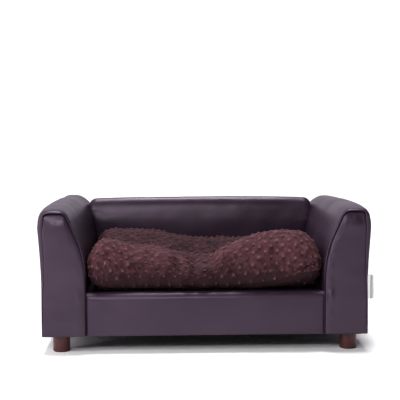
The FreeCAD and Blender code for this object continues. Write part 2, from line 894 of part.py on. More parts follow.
doc.recompute()
for obj in doc.Objects:
    if "Invalid" in obj.State or "Error" in obj.State:
        raise SystemExit(f"{obj.Label} is {obj.State}")
for label, obj in parts.items():
    if obj.Shape.isNull() or not obj.Shape.isValid() or not obj.Shape.Solids:
        raise SystemExit(f"{label} has no valid solid")
for label, obj in parts.items():
    obj.Shape.exportStep(f"parts/{label}.step")
print(len(parts), "parts written")
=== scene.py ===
import math
from collections import Counter
import bmesh
import bpy
import numpy as np
from mathutils import Matrix, Vector


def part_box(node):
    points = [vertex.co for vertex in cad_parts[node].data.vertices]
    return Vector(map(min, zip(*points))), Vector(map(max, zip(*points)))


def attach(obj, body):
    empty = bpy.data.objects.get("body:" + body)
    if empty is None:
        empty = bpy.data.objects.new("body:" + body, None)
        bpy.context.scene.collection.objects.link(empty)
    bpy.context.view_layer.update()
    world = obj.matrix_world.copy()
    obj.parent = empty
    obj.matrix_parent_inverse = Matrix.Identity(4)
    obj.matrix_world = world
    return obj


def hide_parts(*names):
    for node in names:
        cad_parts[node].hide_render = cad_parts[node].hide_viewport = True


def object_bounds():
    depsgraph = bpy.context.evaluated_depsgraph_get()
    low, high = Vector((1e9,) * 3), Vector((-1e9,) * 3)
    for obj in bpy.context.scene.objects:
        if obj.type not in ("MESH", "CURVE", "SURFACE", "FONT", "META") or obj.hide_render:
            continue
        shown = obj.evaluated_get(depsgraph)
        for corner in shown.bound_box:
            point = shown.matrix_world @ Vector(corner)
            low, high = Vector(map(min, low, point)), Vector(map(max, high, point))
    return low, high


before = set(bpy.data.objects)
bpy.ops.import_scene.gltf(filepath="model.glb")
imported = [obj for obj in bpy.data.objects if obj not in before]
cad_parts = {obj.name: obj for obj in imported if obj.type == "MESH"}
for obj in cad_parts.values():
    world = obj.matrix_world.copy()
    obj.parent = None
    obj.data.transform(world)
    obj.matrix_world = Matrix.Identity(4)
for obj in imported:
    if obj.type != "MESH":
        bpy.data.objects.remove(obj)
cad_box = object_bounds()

# Sofa-style dog bed: the looks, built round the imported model. Lengths are in metres, and
# numbers written in millimetres are turned into metres with MM. The front faces -y.

MM = 0.001
scene = bpy.context.scene

# ---------- small tools


def extent(node):
    """A node's lowest and highest corners."""
    return [np.array(corner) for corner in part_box(node)]


def low(node):
    return extent(node)[0]


def high(node):
    return extent(node)[1]


def smoothstep(value):
    value = np.clip(value, 0.0, 1.0)
    return value * value * (3 - 2 * value)


def bell(value, centre, width):
    """A smooth bump: 1 at the centre, near 0 at twice the width away."""
    return np.exp(-(((value - centre) / width) ** 2))


def mix(first, second, share):
    return first * (1 - share) + second * share


def smooth_noise(points, size, seed):
    """Smooth noise between -1 and 1 at an array of points, with features of about size."""
    side = 32
    lattice = np.random.default_rng(seed).uniform(-1, 1, (side, side, side))
    place = np.asarray(points) / size + 4 * side
    cell = np.floor(place).astype(int)
    part = place - cell
    part = part * part * (3 - 2 * part)
    total = np.zeros(place.shape[:-1])
    for corner in np.ndindex(2, 2, 2):
        weight = np.prod(np.where(corner, part, 1 - part), axis=-1)
        i, j, k = ((cell[..., n] + corner[n]) % side for n in range(3))
        total += weight * lattice[i, j, k]
    return total


def resample(path, count):
    """Points spaced evenly along a polyline."""
    path = np.asarray(path)
    steps = np.linalg.norm(np.diff(path, axis=0), axis=1)
    along = np.concatenate([[0], np.cumsum(steps)])
    wanted = np.linspace(0, along[-1], count)
    return np.stack([np.interp(wanted, along, path[:, n]) for n in range(path.shape[1])], 1)


def unevenness(points, seed, *layers):
    """Layers of smooth noise, each given as (height, size) and with its own seed."""
    total = 0
    for number, (height, size) in enumerate(layers):
        total += height * smooth_noise(points, size, seed + number)
    return total


def with_ends(points):
    """The points with one more at each end, in line with the last two."""
    return np.concatenate([2 * points[:1] - points[1:2], points, 2 * points[-1:] - points[-2:-1]])


def catmull_rom(a, b, c, d, part):
    """Places between b and c on the smooth curve through a, b, c and d."""
    square = (2 * a - 5 * b + 4 * c - d) * part**2
    cube = (3 * b - a - 3 * c + d) * part**3
    return 0.5 * (2 * b + (c - a) * part + square + cube)


def spline(points, count):
    """A smooth curve through points, as count evenly spaced points."""
    points = np.asarray(points, float)
    padded = with_ends(points)
    part = np.linspace(0, 1, 24, endpoint=False)[:, None]
    spans = [catmull_rom(*padded[n : n + 4], part) for n in range(len(points) - 1)]
    return resample(np.concatenate([*spans, points[-1:]]), count)


def arc(centre, radius, start, end, count):
    """Points round an arc, from one angle to another in degrees."""
    turn = np.radians(np.linspace(start, end, count))[:, None]
    return np.array(centre) + radius * np.concatenate([np.cos(turn), np.sin(turn)], 1)


def crowded_ends(half, zone, end_count, power, middle_count):
    """Stations from -half to half, closer together in a zone at each end."""
    start = np.linspace(0, 1, end_count) ** power * zone
    middle = np.linspace(zone - half, half - zone, middle_count)[1:-1]
    return np.concatenate([start - half, middle, half - start[::-1]])


def grid_faces(rows, cols, wrap=False):
    """Quads of a grid of points; wrap joins the last column to the first."""
    row = np.arange(rows - 1)[:, None]
    col = np.arange(cols if wrap else cols - 1)
    following = (col + 1) % cols
    corners = [row * cols + col, row * cols + following]
    corners += [(row + 1) * cols + following, (row + 1) * cols + col]
    return np.stack(corners, -1).reshape(-1, 4)


def capped_tube(rows, cols):
    """Faces of a grid whose columns close into a ring, with a cap at each end."""
    caps = [list(range(cols)), [(rows - 1) * cols + n for n in range(cols)][::-1]]
    return grid_faces(rows, cols, wrap=True).tolist() + caps


def loop_normals(loop):
    """Outward unit normals of a closed loop of (x, z) points that runs anticlockwise."""
    ahead = np.roll(loop, -1, axis=0) - np.roll(loop, 1, axis=0)
    normals = np.stack([ahead[:, 1], -ahead[:, 0]], 1)
    return normals / np.linalg.norm(normals, axis=1, keepdims=True)


def make(name, points, faces, slot_name="faux_leather", body="sofa", weld=True, finish=None):
    """A smooth-shaded mesh piece in place, with its finish (the slot name's unless another finish
    is given) and its body.
    """
    mesh = bpy.data.meshes.new(name)
    mesh.from_pydata(np.asarray(points).reshape(-1, 3).tolist(), [], [list(f) for f in faces])
    if weld:
        data = bmesh.new()
        data.from_mesh(mesh)
        bmesh.ops.remove_doubles(data, verts=data.verts, dist=1e-6)
        bmesh.ops.recalc_face_normals(data, faces=data.faces)
        data.to_mesh(mesh)
        data.free()
    mesh.shade_smooth()
    obj = bpy.data.objects.new(name, mesh)
    scene.collection.objects.link(obj)
    mesh.materials.append(FINISHES[finish or slot_name])
    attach(obj, body)
    return obj


# ---------- materials


def plug(tree, node, inputs):
    """Sets a node's inputs: a socket is linked, anything else is a constant."""
    for name, value in inputs.items():
        if isinstance(value, bpy.types.NodeSocket):
            tree.links.new(value, node.inputs[name])
        else:
            node.inputs[name].default_value = value
    return node


def add(tree, kind, inputs, **settings):
    """A new node with its settings and inputs."""
    node = tree.nodes.new(f"ShaderNode{kind}")
    for key, value in settings.items():
        setattr(node, key, value)
    return plug(tree, node, inputs)


def calculate(tree, operation, *values):
    node = add(tree, "Math", dict(enumerate(values)), operation=operation)
    return node.outputs["Value"]


def texture(tree, kind, inputs, stretch=None, **settings):
    """A texture node that reads object coordinates, stretched where asked."""
    place = add(tree, "TexCoord", {}).outputs["Object"]
    if stretch:
        place = add(tree, "Mapping", {"Vector": place, "Scale": stretch}).outputs["Vector"]
    return add(tree, kind, {"Vector": place, **inputs}, **settings)


def noise(tree, scale, detail, distortion=0.0, stretch=None):
    inputs = {"Scale": scale, "Detail": detail, "Distortion": distortion}
    return texture(tree, "TexNoise", inputs, stretch).outputs["Fac"]


def grey(value):
    return (value,) * 3


def ramp(tree, source, *stops):
    """A colour ramp over a value, from (position, colour) stops."""
    node = add(tree, "ValToRGB", {"Fac": source})
    elements = node.color_ramp.elements
    while len(elements) < len(stops):
        elements.new(0.5)
    for element, (position, colour) in zip(elements, stops):
        element.position = position
        element.color = (*colour, 1)
    return node.outputs["Color"]


def bump(tree, height, strength, distance, under=None):
    """The normal of a relief, laid over another one where given."""
    inputs = {"Height": height, "Strength": strength, "Distance": distance}
    if under is not None:
        inputs["Normal"] = under
    return add(tree, "Bump", inputs).outputs["Normal"]


# Each look gives the inputs of the Principled shader.


def leather(tree, depth):
    """Satin faux leather with a pebbled grain; depth scales how light and glossy it is, and a low
    depth makes a darker, duller copy that paints shade.
    """
    blotch = noise(tree, 9, 4)
    grain = texture(tree, "TexVoronoi", {"Scale": 900}, feature="DISTANCE_TO_EDGE")
    relief = bump(tree, noise(tree, 28, 2), 0.10, 0.004)
    relief = bump(tree, grain.outputs["Distance"], 0.20, 0.0004, relief)
    relief = bump(tree, noise(tree, 2200, 2), 0.12, 0.0002, relief)
    dark = (0.028 * depth, 0.0165 * depth, 0.0285 * depth)
    light = (0.039 * depth, 0.024 * depth, 0.0395 * depth)
    return {
        "Base Color": ramp(tree, blotch, (0.3, dark), (0.7, light)),
        "Roughness": ramp(tree, blotch, (0.3, grey(0.33)), (0.7, grey(0.43))),
        "Normal": relief,
        "Specular IOR Level": 0.42 * depth,
        "Specular Tint": (0.98, 0.84, 1.0, 1),
    }


def plush(tree):
    """Short brown plush with a fine fuzz, coloured by an attribute of painted light: painted
    highlights on the dots, painted shade in the valleys and low down.
    """
    # This attribute carries painted light and shade from the mesh.
    dots_and_painted_light = add(tree, "Attribute", {}, attribute_name="dots_and_painted_light").outputs["Fac"]
    blotch = noise(tree, 110, 6)
    shade = calculate(tree, "MULTIPLY_ADD", dots_and_painted_light, 0.5, blotch)
    # The ramp's darkest stop gives painted shade and its lightest gives painted highlights on the
    # dots, over the plush's own tone.
    valley, nap, tip = (0.022, 0.007, 0.010), (0.072, 0.027, 0.033), (0.150, 0.068, 0.078)
    soft = bump(tree, blotch, 0.35, 0.003)
    return {
        "Base Color": ramp(tree, shade, (0.14, valley), (0.48, nap), (0.85, tip)),
        "Normal": bump(tree, noise(tree, 1400, 3), 0.5, 0.0008, soft),
        "Roughness": 0.8,
        "Sheen Weight": 0.10,
        "Sheen Roughness": 0.35,
        "Sheen Tint": (0.9, 0.62, 0.64, 1),
        "Specular IOR Level": 0.25,
    }


def wood(tree, dark, light, stretch, roughness, coat):
    """Wood with long grain and fine pores, for the turned legs and the plywood frame."""
    grain = noise(tree, 1.0, 6, 0.6, stretch)
    return {
        "Base Color": ramp(tree, grain, (0.32, dark), (0.68, light)),
        "Normal": bump(tree, grain, 0.25, 0.0005),
        "Roughness": roughness,
        "Coat Weight": coat,
        "Coat Roughness": 0.25,
    }


def metal(tree, dark, light, roughness):
    """Plated metal, slightly mottled and scuffed."""
    cloud = noise(tree, 260, 5)
    smooth, worn = grey(roughness - 0.08), grey(roughness + 0.1)
    return {
        "Base Color": ramp(tree, cloud, (0.3, dark), (0.7, light)),
        "Roughness": ramp(tree, cloud, (0.3, smooth), (0.7, worn)),
        "Normal": bump(tree, noise(tree, 1800, 2), 0.15, 0.0001),
        "Metallic": 1.0,
    }


def woven(tree, dark, light, threads, roughness):
    """Cloth whose two sets of threads show, in colour and in relief."""
    inputs = {"Scale": threads, "Distortion": 0.4}
    warp, weft = (
        texture(tree, "TexWave", inputs, bands_direction=axis).outputs["Fac"] for axis in "XZ"
    )
    cloth = calculate(tree, "ADD", calculate(tree, "MULTIPLY", warp, weft), noise(tree, 150, 5))
    return {
        "Base Color": ramp(tree, cloth, (0.35, dark), (1.0, light)),
        "Normal": bump(tree, cloth, 0.4, 0.0003),
        "Roughness": roughness,
    }


def studio_white(tree):
    return {"Base Color": (0.99, 0.99, 0.99, 1), "Roughness": 0.8, "Specular IOR Level": 0.1}


def new_material(name, look, *values):
    material = bpy.data.materials.new(name)
    material.use_nodes = True
    tree = material.node_tree
    plug(tree, tree.nodes["Principled BSDF"], look(tree, *values))
    return material


# How finely the grain of the turned legs and of the plywood is drawn along x, y and z.
TURNED, ROLLED = (260, 260, 22), (14, 110, 240)
LOOKS = {
    "faux_leather": (leather, 1.0),
    # A darker, duller copy of the leather for the deck: painted shade under the cushion's
    # overhang.
    "deck_leather_painted_shade": (leather, 0.3),
    "plush": (plush,),
    "black_lining": (woven, (0.008, 0.008, 0.009), (0.028, 0.027, 0.030), 420, 0.9),
    "label_fabric": (woven, grey(0.56), grey(0.72), 500, 0.75),
    "label_thread": (woven, (0.15, 0.15, 0.16), (0.26, 0.26, 0.27), 500, 0.75),
    "zip_fabric": (woven, (0.016, 0.008, 0.009), (0.050, 0.026, 0.028), 380, 0.85),
    "zip_nylon": (woven, (0.022, 0.012, 0.012), (0.060, 0.034, 0.036), 300, 0.45),
    "foam": (woven, (0.55, 0.50, 0.34), (0.72, 0.68, 0.52), 600, 0.95),
    "fibre_fill": (woven, (0.75, 0.75, 0.74), (0.88, 0.88, 0.87), 500, 0.95),
    "stained_wood": (wood, (0.034, 0.0055, 0.006), (0.088, 0.017, 0.017), TURNED, 0.5, 0.05),
    "plywood": (wood, (0.38, 0.25, 0.14), (0.62, 0.45, 0.28), ROLLED, 0.65, 0.0),
    "zinc_steel": (metal, (0.42, 0.42, 0.44), (0.66, 0.66, 0.67), 0.34),
    "zip_metal": (metal, (0.10, 0.085, 0.080), (0.24, 0.21, 0.19), 0.36),
}
FINISHES = {name: new_material(name, *look) for name, look in LOOKS.items()}
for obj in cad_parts.values():
    for holder in obj.material_slots:
        holder.material = FINISHES[holder.material.name.split(".")[0]]

# ---------- arms

# What differs between the arms. slim draws the padded outer wall in at the floor and at the
# top, and rear_drop lowers the rear end, in millimetres. rim is how far the front panel falls
# to its inner seam, within rim_reach metres; pinch and puffs swell it beside that seam.
ARMS = {
    "left": {
        "side": -1, "slim": (0.6, 2.6), "rear_drop": 0, "rim": 5.0, "rim_reach": 0.018,
        "pinch": 1.0, "puffs": 0.4, "wrap_seed": 23, "panel_seed": 37,
    },
    "right": {
        "side": 1, "slim": (1.8, 3.0), "rear_drop": 6, "rim": 7.8, "rim_reach": 0.015,
        "pinch": 5.5, "puffs": 1.2, "wrap_seed": 11, "panel_seed": 31,
    },
}
WALL_TOP = 140 * MM
CORNER_RADIUS = 3 * MM
CORNER_COUNT = 6
WALL_COUNT = 26
CROWN_COUNT = 120
FLOOR_COUNT = 20


def panel_loop(node, front):
    """The edge of a flat upholstery panel's face as an ordered loop of (distance, z) points."""
    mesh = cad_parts[node].data
    face_y = (min if front else max)(v.co.y for v in mesh.vertices)
    uses = Counter()
    for polygon in mesh.polygons:
        corners = [mesh.vertices[i].co for i in polygon.vertices]
        if all(abs(c.y - face_y) <= 1e-5 for c in corners):
            ring = [(round(abs(c.x), 6), round(c.z, 6)) for c in corners]
            uses.update(frozenset(edge) for edge in zip(ring, ring[1:] + ring[:1]))
    joined = {}
    for a, b in (edge for edge, count in uses.items() if count == 1):
        joined.setdefault(a, []).append(b)
        joined.setdefault(b, []).append(a)
    start = max(joined, key=lambda p: p[0] - 10 * p[1])
    loop = [start]
    current = max(joined[start], key=lambda p: p[1])
    while current != start:
        onward = [p for p in joined[current] if p != loop[-1]]
        loop.append(current)
        current = onward[0]
    return np.array(loop)


def section_loop(node, front, slim):
    """One arm section as a loop with the same count of points at the front and the rear."""
    slim_low, slim_high = (value * MM for value in slim)
    loop = panel_loop(node, front)
    bottom = loop[0][1]
    outer, inner = loop[0][0], loop[-1][0]
    crown = np.array([p for p in loop if p[1] > WALL_TOP + 1e-4])
    middle = (outer + inner) / 2
    share = np.clip((crown[:, 0] - middle) / (outer - middle), 0, 1)
    rise = (crown[:, 1] - bottom) / (crown[:, 1].max() - bottom)
    crown[:, 0] -= share * (slim_low + (slim_high - slim_low) * rise)
    wall = outer - slim_low
    outer_top = np.array([outer - slim_low * 0.6 - slim_high * 0.4, WALL_TOP])
    inner_top = np.array([inner, WALL_TOP])
    arc_z = bottom + CORNER_RADIUS
    outer_arc = arc((wall - CORNER_RADIUS, arc_z), CORNER_RADIUS, -90, 0, CORNER_COUNT)
    inner_arc = arc((inner + CORNER_RADIUS, arc_z), CORNER_RADIUS, 180, 270, CORNER_COUNT)
    crown = crown[:: max(1, len(crown) // 14)]
    stretches = (
        outer_arc,
        resample([outer_arc[-1], outer_top], WALL_COUNT),
        spline([outer_top, *crown, inner_top], CROWN_COUNT),
        resample([inner_top, inner_arc[0]], WALL_COUNT),
        inner_arc,
        resample([inner_arc[-1], outer_arc[0]], FLOOR_COUNT),
    )
    return np.concatenate([stretch[:-1] for stretch in stretches])


def blur_loop(values, times):
    for _ in range(times):
        values = (np.roll(values, 1) + 2 * values + np.roll(values, -1)) / 4
    return values


# The wrap's edge, from the arm's side round to the seam: shares of the way in to the seam, and
# depths behind the front, where it rolls forward and then tucks in, lies back, or runs level.
ROLL_SHARE = np.array([0, 0, 0.03, 0.1, 0.22, 0.38, 0.55, 0.72, 0.86, 0.96, 1.0, 1.0, 1.06])
ROLL_PROUD = np.array([14, 9, 5.5, 3.2, 1.5, 0.5, 0, 0.15, 0.9, 2.4, 4.6, 7.2, 9.5]) * MM
ROLL_FLUSH = np.array([14, 9, 7, 5.8, 5.0, 4.4, 4.0, 3.7, 3.5, 3.4, 3.6, 5.0, 7.5]) * MM
ROLL_LEVEL = np.array([14, 9, 5.5, 3.4, 1.9, 1.0, 0.6, 0.4, 0.4, 0.55, 0.8, 2.4, 7.5]) * MM
LEAST_INSET = 0.6  # millimetres from the arm's outline in to the seam


def arm_edge(loop, front):
    """Round the loop: the seam's inset, the padding's swell and each edge profile's share."""
    middle = (loop[:, 0].min() + loop[:, 0].max()) / 2
    up = (loop[:, 1] - loop[:, 1].min()) / np.ptp(loop[:, 1])
    outer = (loop[:, 0] > middle) & (up > 0.001)
    facing_up = smoothstep((loop_normals(loop)[:, 1] - 0.55) / 0.35)
    inset = np.where(outer, 2.5 + 7.0 * smoothstep((up - 0.15) / 0.7), LEAST_INSET)
    swell = np.where(outer, 0.3, 0.4 + 2.6 * smoothstep((up - 0.42) / 0.3))
    proud = np.where(outer, 0.0, 0.4 * smoothstep((up - 0.5) / 0.3))
    inset = mix(inset, LEAST_INSET, facing_up)
    swell = mix(swell, 3.6, facing_up)
    proud = mix(proud, 1.0, facing_up)
    level = outer * (1 - facing_up)
    floor_fade = smoothstep(up / 0.06)
    inset = LEAST_INSET + (inset - LEAST_INSET) * floor_fade
    swell, proud, level = (v * floor_fade for v in (swell, proud, level))
    inset, swell, proud, level = (blur_loop(v, 14) for v in (inset, swell, proud, level))
    if not front:
        inset, swell, proud = 0.6 * inset + 0.8, 0.5 * swell, 0.6 * proud
    return inset * MM, swell * MM, proud, level


def arm_wrap(side_name, front_loop, rear_loop):
    """The leather wrap of one arm: a lofted roll that tucks in behind both facings."""
    arm = ARMS[side_name]
    front_y = low(f"{side_name}_arm_front_facing")[1]
    rear_y = high(f"{side_name}_arm_rear_facing")[1]
    ends = []
    for loop, face_y, inward in ((front_loop, front_y, 1), (rear_loop, rear_y, -1)):
        inset, swell, proud, level = arm_edge(loop, inward > 0)
        normals = loop_normals(loop)
        stack = []
        for share, deep, flush, even in zip(ROLL_SHARE, ROLL_PROUD, ROLL_FLUSH, ROLL_LEVEL):
            depth = deep * proud + even * level + flush * (1 - proud - level)
            across = loop + normals * (swell - share * (swell + inset))[:, None]
            stack.append(np.stack([across[:, 0], face_y + inward * depth, across[:, 1]], 1))
        ends.append(stack)
    between = [mix(ends[0][0], ends[1][0], share) for share in np.linspace(0, 1, 120)[1:-1]]
    points = np.array([*ends[0][::-1], *between, *ends[1]])
    points += arm_relief(points, front_y, rear_y, arm["wrap_seed"])
    points[..., 0] *= arm["side"]
    faces = capped_tube(*points.shape[:2])
    wrap = make(f"{side_name}_arm_wrap", points, faces)
    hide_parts(f"{side_name}_arm_cover", f"{side_name}_arm_foam")


def arm_relief(points, front_y, rear_y, seed):
    """Soft unevenness of the padding, and gathers that run back from the facing's seam."""
    loop = points[len(points) // 2][:, (0, 2)]
    normals = loop_normals(loop)
    up = (points[..., 2] - points[..., 2].min()) / np.ptp(points[..., 2])
    from_front = points[..., 1] - front_y
    from_rear = rear_y - points[..., 1]
    wall = smoothstep((up - 0.03) / 0.12)
    soft = unevenness(points, seed, (0.8, 0.075), (0.35, 0.028))
    gather = smooth_noise(points * (1, 0.16, 1), 0.0065, seed + 2)
    at_top = smoothstep((up - 0.82) / 0.1)
    inner = smoothstep((0.5 - (loop[:, 0] - loop[:, 0].min()) / np.ptp(loop[:, 0])) / 0.3)
    near = np.exp(-np.maximum(from_front - 0.004, 0) / 0.02)
    near += 0.6 * np.exp(-np.maximum(from_rear - 0.004, 0) / 0.02)
    fade = smoothstep(from_front / 0.012) * smoothstep(from_rear / 0.012)
    amount = soft * fade * (1 - 0.6 * inner * (1 - at_top))
    amount += gather * near * fade * (0.2 + 0.7 * at_top)
    along = np.clip(from_front / (rear_y - front_y), 0, 1)
    crown = smoothstep((up - 0.78) / 0.16) * (1 - 0.75 * np.clip(-normals[:, 0], 0, 1))
    amount = (amount + 7.0 * np.sin(np.pi * along**0.55) * crown) * wall * MM
    moved = np.zeros_like(points)
    moved[..., 0] = amount * normals[:, 0]
    moved[..., 2] = amount * normals[:, 1]
    return moved


def coons(bottom, top, left, right):
    """A grid that fills four boundary curves; rows run from bottom to top."""
    v = np.linspace(0, 1, len(left))[:, None, None]
    u = np.linspace(0, 1, len(bottom))[None, :, None]
    ruled = mix(bottom[None], top[None], v) + mix(left[:, None], right[:, None], u)
    return ruled - mix(mix(bottom[0], bottom[-1], u), mix(top[0], top[-1], u), v)


def rim_fall(gap, reach):
    """1 at a seam, falling like a quarter circle to 0 where the panel is flat."""
    return 1 - np.sqrt(1 - (1 - np.clip(gap / reach, 0, 1)) ** 2)


def closed_grid(points, back):
    """A slab from two matching grids of points, with faces round its edge."""
    rows, cols = points.shape[:2]
    both = np.concatenate([points.reshape(-1, 3), back.reshape(-1, 3)])
    shift = rows * cols
    front = grid_faces(rows, cols)
    faces = front.tolist() + (front[:, ::-1] + shift).tolist()
    index = np.arange(shift).reshape(rows, cols)
    ring = [*index[0], *index[1:, -1], *index[-1, -2::-1], *index[-2:0:-1, 0]]
    for a, b in zip(ring, ring[1:] + ring[:1]):
        faces.append([a, b, shift + b, shift + a])
    return both, faces


def facing(side_name, loop, front):
    """The sewn end panel of an arm: padded, tucked under the wrap's rolled edge all round."""
    arm = ARMS[side_name]
    end = "front" if front else "rear"
    node = f"{side_name}_arm_{end}_facing"
    face_y, inward = (low(node)[1], 1) if front else (high(node)[1], -1)
    edge = loop - loop_normals(loop) * (arm_edge(loop, front)[0] + 0.1 * MM)[:, None]
    count = len(edge)
    top_outer = int(np.argmax(edge[:, 0] * 0.5 + edge[:, 1]))
    top_inner = int(np.argmax(edge[:, 1] - edge[:, 0] * 0.7))
    bottom_outer = CORNER_COUNT // 2 - 1
    bottom_inner = int(np.argmin(edge[:, 0] + edge[:, 1]))

    def stretch(start, end, number):
        """Edge points from one corner of the loop on to another."""
        span = (end - start) % count
        return resample(edge[(start + np.arange(span + 1)) % count], number)

    cols, rows = 72, 190
    right = stretch(bottom_outer, top_outer, rows)
    top = stretch(top_outer, top_inner, cols)[::-1]
    left = stretch(top_inner, bottom_inner, rows)[::-1]
    bottom = stretch(bottom_inner, bottom_outer, cols)
    flat = coons(bottom, top, left, right)
    v = np.linspace(0, 1, rows)[:, None]
    u = np.linspace(0, 1, cols)[None, :]
    wide = np.linalg.norm(right - left, axis=1)[:, None]
    tall = np.ptp(edge[:, 1])
    to_inner, to_outer = u * wide, (1 - u) * wide
    to_bottom, to_top = v * tall, (1 - v) * tall
    rims = (
        arm["rim"] * rim_fall(to_inner, arm["rim_reach"]),
        1.0 * rim_fall(to_outer, 0.005),
        9.0 * rim_fall(to_top, 0.036),
        2.6 * rim_fall(to_bottom, 0.006),
    )
    fall = sum(rim**3 for rim in rims) ** (1 / 3)
    calm = 1 - np.clip((fall - 1.5) / 3.5, 0, 1)
    points = np.zeros((rows, cols, 3))
    points[..., 0], points[..., 2] = flat[..., 0], flat[..., 1]
    seed = arm["panel_seed"] + (0 if front else 5)
    relief = unevenness(points, seed, (0.9, 0.06), (0.4, 0.022))
    gather = smooth_noise(points * (1, 1, 0.2), 0.0065, seed + 2)
    relief += 2.4 * gather * np.exp(-to_top / 0.016) * (0.6 + 0.4 * np.cos(np.pi * (1 - u)))
    relief += 2.6 * np.sin(np.pi * u) ** 0.8 * smoothstep(v / 0.15) * smoothstep((1 - v) / 0.12)
    beside_rail = bell(points[..., 2], high("front_rail_cover")[2] - 0.010, 0.014)
    relief += arm["pinch"] * beside_rail * bell(to_inner, 0.012, 0.0065)
    puffs = smooth_noise(points, 0.016, seed + 3) * bell(to_inner, 0.011, 0.006)
    relief += arm["puffs"] * puffs
    points[..., 1] = face_y + inward * fall * MM
    points[..., 1] -= inward * relief * calm * MM
    points[..., 0] *= arm["side"]
    back = points.copy()
    back[..., 1] = face_y + inward * 9 * MM
    name = f"{side_name}_arm_{end}_panel"
    piece = make(name, *closed_grid(points, back))
    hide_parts(node)


arm_loops = {}
for side_name, arm in ARMS.items():
    front, rear = (
        section_loop(f"{side_name}_arm_{end}_facing", end == "front", arm["slim"])
        for end in ("front", "rear")
    )
    rear[:, 1] -= arm["rear_drop"] * MM * smoothstep((rear[:, 1] - 0.2) / 0.07)
    inner_share = smoothstep((0.300 - rear[:, 0]) / 0.03)
    rear[:, 0] += 6 * MM * smoothstep((rear[:, 1] - 0.19) / 0.06) * inner_share
    arm_loops[side_name] = front, rear
    arm_wrap(side_name, front, rear)
    facing(side_name, front, True)
    facing(side_name, rear, False)


def arm_inner(side_name, depth, height):
    """How far from the middle an arm's inner wall is, at given depths and heights."""
    front_y = low("left_arm_front_facing")[1]
    rear_y = high("left_arm_rear_facing")[1]
    found = []
    for loop in arm_loops[side_name]:
        middle = (loop[:, 0].min() + loop[:, 0].max()) / 2
        wall = loop[loop[:, 0] < middle + 0.01]
        wall = wall[np.argsort(wall[:, 1])]
        found.append(np.interp(height, wall[:, 1], wall[:, 0]))
    share = np.clip((depth - front_y) / (rear_y - front_y), 0, 1)
    return mix(*found, share)


# ---------- back

# The roll's section over the top, from its front foot to its rear edge: shares of the back
# cover's depth and height.
BACK_TOP_SECTION = [
    (0.030, 0.00), (0.000, 0.25), (0.000, 0.60), (0.045, 0.78), (0.120, 0.915), (0.240, 0.990),
    (0.360, 1.008), (0.580, 0.985), (0.820, 0.930), (0.960, 0.875), (0.998, 0.830),
]


def back_pad():
    """The padded back: one stuffed roll whose ends are squeezed between the arms."""
    near, far = extent("back_cover")
    size = far - near
    frame_face = low("back_inner_panel")[1]
    frame_top = high("back_top_rail")[2]
    section = [(near[1] + y * size[1], near[2] + z * size[2]) for y, z in BACK_TOP_SECTION]
    outer = spline(section, 84)
    inside = [(outer[-1][0] - 0.002, frame_top), (frame_face, frame_top), (frame_face, near[2])]
    inner = resample(inside, 40)
    base = resample([inner[-1], outer[0]], 10)[1:-1]
    loop = np.concatenate([outer, inner, base])
    stations = crowded_ends(1, 0.12, 26, 1.6, 110)
    centre = np.array([(near[1] + far[1]) / 2 + 0.006, (near[2] + frame_top) / 2])
    points = np.zeros((len(stations), len(loop), 3))
    rise = np.clip((loop[:, 1] - near[2]) / size[2], 0, 1)
    forward = np.clip((frame_face - loop[:, 0]) / (frame_face - near[1]), 0, 1)
    for number, station in enumerate(stations):
        name = "left" if station < 0 else "right"
        reach = np.minimum(arm_inner(name, loop[:, 0], loop[:, 1]) + 0.5 * MM, far[0])
        from_end = (1 - abs(station)) * reach
        rounding = rim_fall(from_end, 0.018)
        drop = 2.0 * np.exp(-from_end / 0.06) + 17.0 * rounding
        drop += 1.4 * station**2
        points[number, :, 0] = station * reach
        points[number, :, 1] = loop[:, 0] + forward * (4.5 * rounding + 0.6 * station**2) * MM
        points[number, :, 2] = loop[:, 1] - smoothstep((rise - 0.7) / 0.25) * drop * MM
    relief = unevenness(points, 51, (0.8, 0.085), (0.4, 0.03))
    crease = smooth_noise(points * (0.3, 1, 1), 0.008, 53)
    ends = np.exp(-(np.abs(np.abs(points[..., 0]) - 0.25)) / 0.02)
    relief += 0.7 * crease * ends
    place = np.arange(len(loop))
    edge_fade = smoothstep(np.minimum(place, len(outer) - 1 - place) / 6)
    relief *= (place < len(outer)) * edge_fade * MM
    normals = loop_normals(loop[::-1])[::-1]
    away = np.sign(np.sum(normals * (loop - centre), 1))[:, None]
    normals = normals * away
    points[..., 1] += relief * normals[:, 0]
    points[..., 2] += relief * normals[:, 1]
    points[..., 1] = np.maximum(points[..., 1], near[1] - 0.4 * MM)
    pad = make("back_pad", points, capped_tube(*points.shape[:2]))
    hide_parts("back_cover", "back_foam")


back_pad()


def flat_panel(node, seed, cols=150, rows=90):
    """A grid over a thin flat node, with how far each point is from its edge, and waves."""
    near, far = extent(node)
    axis = int(np.argmin(far - near))
    a, b = (n for n in range(3) if n != axis)
    points = np.zeros((rows, cols, 3))
    points[..., a] = np.linspace(near[a], far[a], cols)[None, :]
    points[..., b] = np.linspace(near[b], far[b], rows)[:, None]
    gap = np.minimum(points - near, far - points)[..., (a, b)].min(axis=-1)
    inside = 1 - rim_fall(gap, 0.006)
    wave = unevenness(points, seed, (0.5, 0.09), (0.3, 0.03))
    pull = smooth_noise(points, 0.011, seed + 2) * np.exp(-gap / 0.012)
    return near, far, points, inside, wave + 0.5 * pull


def stretched_sheet(name, node, points, axis, thickness, rests_on, *slot_name, finish=None):
    """The sheet that stands for a thin flat node, as thick along axis as is given."""
    back = points.copy()
    back[..., axis] += thickness
    piece = make(name, *closed_grid(points, back), *slot_name, finish=finish)
    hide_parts(node)


